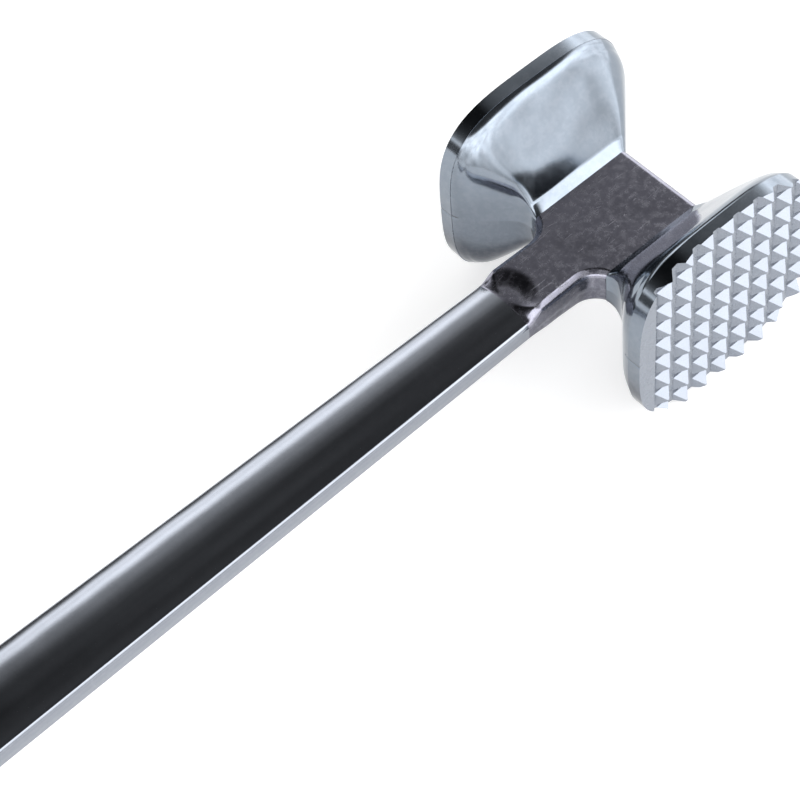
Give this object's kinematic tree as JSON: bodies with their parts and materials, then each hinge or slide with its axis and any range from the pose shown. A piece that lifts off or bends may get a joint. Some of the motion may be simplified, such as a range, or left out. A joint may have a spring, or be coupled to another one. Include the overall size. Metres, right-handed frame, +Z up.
{
  "type": "meat mallet",
  "caption": "Double-faced metal meat mallet: fine and coarse toothed faces on flared heads, joined by a flat bridge, with a long domed bar handle.",
  "frame": {"origin": "centre of the bounding box in plan, at the level of the flats under both head rims", "axes": "+X from the handle to the head, +Z up out of the flat of the bridge, the fine-toothed face looks along -Y"},
  "size_m": [0.24, 0.0646, 0.051],
  "materials": {
    "bridge_metal": "polished, with fine handling scratches",
    "head_metal": "mirror polished casting",
    "tooth_metal": "bright satin",
    "handle_metal": "mirror polished casting",
    "hidden_steel": "bright"
  },
  "bodies": {
    "root": {"head_bridge": "bridge_metal", "tie_stud": "hidden_steel", "fine_head": "head_metal", "coarse_head": "head_metal", "fine_tooth_plate": "tooth_metal", "coarse_tooth_plate": "tooth_metal", "handle": "handle_metal", "neck_pin": "hidden_steel"}
  },
  "joints": []
}
